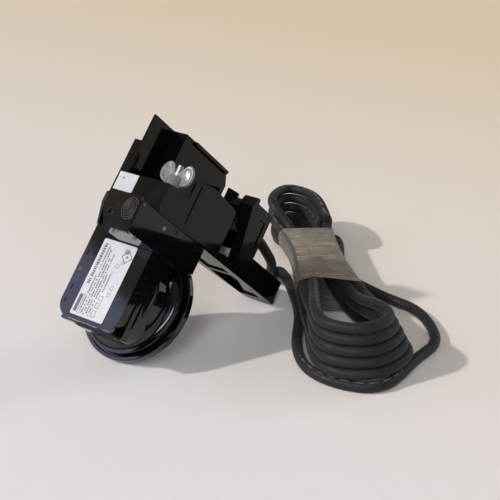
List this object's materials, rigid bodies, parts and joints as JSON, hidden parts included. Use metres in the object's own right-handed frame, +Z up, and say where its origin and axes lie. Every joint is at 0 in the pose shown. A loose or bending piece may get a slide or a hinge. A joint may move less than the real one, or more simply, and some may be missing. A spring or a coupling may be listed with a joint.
{
  "type": "electrical control head with clamp bracket and lead",
  "caption": "Domed black electrical head with bayonet ring, latched clamp bracket and wing nut, and a coiled rubber mains lead.",
  "frame": {"origin": "on the table, under the middle of the whole assembly's bounding box, with the head lying on its bayonet ring and the chassis tail, and the lead hanked beside it", "axes": "+Z up from the table; +X to the right of the type label, along the latch pin; +Y away from the label end, towards the chassis and the hank"},
  "size_m": [0.3298, 0.4434, 0.2296],
  "materials": {
    "black_gloss_abs": "glossy moulded black ABS",
    "black_rubber": "matte extruded rubber",
    "black_satin_abs": "satin moulded black ABS",
    "board_green": "solder-masked circuit board",
    "clear_film": "clear crinkled film, modelled milky",
    "core_iron": "laminated electrical steel",
    "enamelled_copper": "enamelled copper winding",
    "grey_moulding": "grey moulded plastic",
    "natural_nylon": "translucent natural nylon",
    "white_film": "white coated film or light moulding",
    "zinc_steel": "zinc plated steel"
  },
  "bodies": {
    "head": {"arrow_sticker": "white_film", "ballast_coil": "enamelled_copper", "ballast_core": "core_iron", "base_plate": "black_gloss_abs", "capacitor_1": "black_satin_abs", "capacitor_2": "black_satin_abs", "chassis_frame": "black_gloss_abs", "clamp_stud": "zinc_steel", "control_board": "board_green", "cord_clamp": "grey_moulding", "cord_clamp_screw_1": "zinc_steel", "cord_clamp_screw_2": "zinc_steel", "cover_screw_1": "zinc_steel", "cover_screw_2": "zinc_steel", "cover_screw_3": "zinc_steel", "cover_screw_4": "zinc_steel", "dome_bottom_plate": "black_satin_abs", "dome_gasket": "black_rubber", "face_screw": "zinc_steel", "film_wrap": "clear_film", "fuse_holder": "grey_moulding", "gland_body": "black_rubber", "gland_nut": "black_rubber", "gland_seal": "black_rubber", "head_housing": "black_gloss_abs", "lamp_socket": "grey_moulding", "latch_pin": "zinc_steel", "mains_lead": "black_rubber", "neck_housing": "black_gloss_abs", "neck_screw": "zinc_steel", "rear_tower": "black_gloss_abs", "relay": "white_film", "starter": "white_film", "tail_clip_1": "black_gloss_abs", "tail_clip_2": "black_gloss_abs", "tail_trough": "black_gloss_abs", "terminal_block": "white_film", "tower_cover": "black_gloss_abs", "transformer_bolt": "zinc_steel", "transformer_core": "core_iron", "transformer_dish": "zinc_steel", "transformer_winding": "enamelled_copper", "tray_cover": "black_satin_abs", "type_label": "white_film"},
    "bayonet_ring": {"bayonet_ring": "black_gloss_abs"},
    "release_latch": {"release_latch": "black_gloss_abs", "latch_spring": "zinc_steel"},
    "clamp_washer": {"clamp_washer": "natural_nylon"},
    "wing_nut": {"wing_nut": "natural_nylon"}
  },
  "joints": [
    {"name": "ring_turn", "type": "hinge", "parent": "head", "child": "bayonet_ring", "pos_m": [-0.0822, -0.14617, 0.04896], "axis": [0, -0.7502, 0.6612], "range_deg": [0, 25]},
    {"name": "latch_press", "type": "hinge", "parent": "head", "child": "release_latch", "pos_m": [-0.0622, -0.1791, 0.1713], "axis": [1, 0, 0], "range_deg": [0, 8]},
    {"name": "washer_slide", "type": "slide", "parent": "head", "child": "clamp_washer", "axis": [0, 0.6612, 0.7502], "range_m": [0, 0.0041]},
    {"name": "wing_nut_spin", "type": "hinge", "parent": "clamp_washer", "child": "wing_nut", "pos_m": [-0.0577, -0.11712, 0.17266], "axis": [0, 0.6612, 0.7502], "range_deg": [0, 720]}
  ],
  "couplings": [
    {"joint": "washer_slide", "follows": "wing_nut_spin", "m_per_rad": 0.00031831}
  ]
}
